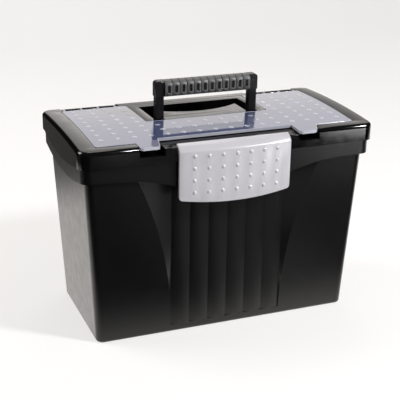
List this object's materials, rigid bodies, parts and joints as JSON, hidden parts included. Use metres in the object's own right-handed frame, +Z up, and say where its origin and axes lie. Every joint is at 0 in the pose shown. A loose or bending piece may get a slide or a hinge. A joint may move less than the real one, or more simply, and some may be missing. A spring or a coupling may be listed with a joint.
{
  "type": "portable file box",
  "caption": "Portable file box: tapered tub with folder rails, hinged organizer lid with a U-shaped see-through cover, wide snap latch and folding bail handle.",
  "frame": {"origin": "centre of the underside, where the tub stands", "axes": "+Z up, +X along the length to the right as seen from the latch side, -Y towards the latch (front)"},
  "size_m": [0.445, 0.2418, 0.3565],
  "materials": {
    "dark_shell": "semi-gloss moulded polypropylene",
    "frosted": "translucent frosted polypropylene",
    "handle_plastic": "satin moulded plastic",
    "grip": "matte soft rubber",
    "pin": "drawn wire"
  },
  "bodies": {
    "tub": {"tub": "dark_shell", "left_lid_hinge_pin": "pin", "right_lid_hinge_pin": "pin"},
    "lid": {"lid": "dark_shell", "latch_hinge_pin": "pin", "left_handle_pivot": "handle_plastic", "right_handle_pivot": "handle_plastic", "left_cover_hinge_pin": "pin", "right_cover_hinge_pin": "pin"},
    "cover": {"organizer_cover": "frosted"},
    "latch": {"front_latch": "frosted"},
    "handle": {"handle_frame": "handle_plastic", "grip_sleeve": "grip", "left_end_cap": "handle_plastic", "right_end_cap": "handle_plastic"}
  },
  "joints": [
    {"name": "lid_hinge", "type": "hinge", "parent": "tub", "child": "lid", "pos_m": [0, 0.1135, 0.2625], "axis": [-1, 0, 0], "range_deg": [0, 100]},
    {"name": "latch_hinge", "type": "hinge", "parent": "lid", "child": "latch", "pos_m": [0, -0.107, 0.288], "axis": [-1, 0, 0], "range_deg": [0, 120]},
    {"name": "cover_hinge", "type": "hinge", "parent": "lid", "child": "cover", "pos_m": [0, 0.097, 0.294], "axis": [-1, 0, 0], "range_deg": [0, 105]},
    {"name": "handle_fold", "type": "hinge", "parent": "lid", "child": "handle", "pos_m": [0, 0.001, 0.288], "axis": [-1, 0, 0], "range_deg": [0, 90]}
  ],
  "couplings": [
    {"joint": "handle_fold", "follows": "cover_hinge", "ratio": 0.857}
  ]
}
